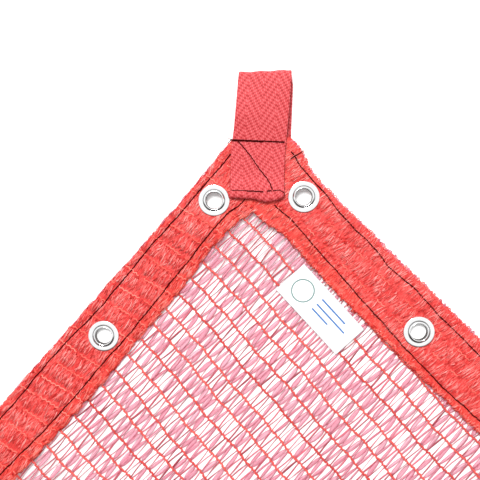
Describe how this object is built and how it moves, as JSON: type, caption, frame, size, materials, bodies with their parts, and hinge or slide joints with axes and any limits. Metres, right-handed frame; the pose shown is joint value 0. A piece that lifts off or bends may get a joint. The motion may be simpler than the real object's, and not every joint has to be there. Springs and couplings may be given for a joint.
{
  "type": "shade cloth",
  "caption": "Square knitted shade cloth with folded hems, metal eyelets along its edges, a webbing loop at each corner and a small blank label, lying flat.",
  "frame": {"origin": "middle of the underside, on the surface the cloth lies on", "axes": "+Z up out of the cloth's face; +Y towards the corner whose loop the picture shows; +X to the right when looking down with +Y up"},
  "size_m": [0.5104, 0.5308, 0.0095],
  "materials": {
    "net": "thin knitted plastic tapes, slightly glossy",
    "hem": "folded knitted plastic tapes, slightly glossy",
    "webbing": "woven herringbone webbing, soft sheen",
    "eyelet": "bright plated metal",
    "label": "smooth woven satin tape, matt"
  },
  "bodies": {
    "root": {"net": "net", "hem_upper_left": "hem", "hem_lower_left": "hem", "hem_lower_right": "hem", "hem_upper_right": "hem", "eyelet_01": "eyelet", "eyelet_02": "eyelet", "eyelet_03": "eyelet", "eyelet_04": "eyelet", "eyelet_05": "eyelet", "eyelet_06": "eyelet", "eyelet_07": "eyelet", "eyelet_08": "eyelet", "eyelet_09": "eyelet", "eyelet_10": "eyelet", "eyelet_11": "eyelet", "eyelet_12": "eyelet", "washer_01": "eyelet", "washer_02": "eyelet", "washer_03": "eyelet", "washer_04": "eyelet", "washer_05": "eyelet", "washer_06": "eyelet", "washer_07": "eyelet", "washer_08": "eyelet", "washer_09": "eyelet", "washer_10": "eyelet", "washer_11": "eyelet", "washer_12": "eyelet", "loop_top": "webbing", "loop_left": "webbing", "loop_bottom": "webbing", "loop_right": "webbing", "label": "label"}
  },
  "joints": []
}
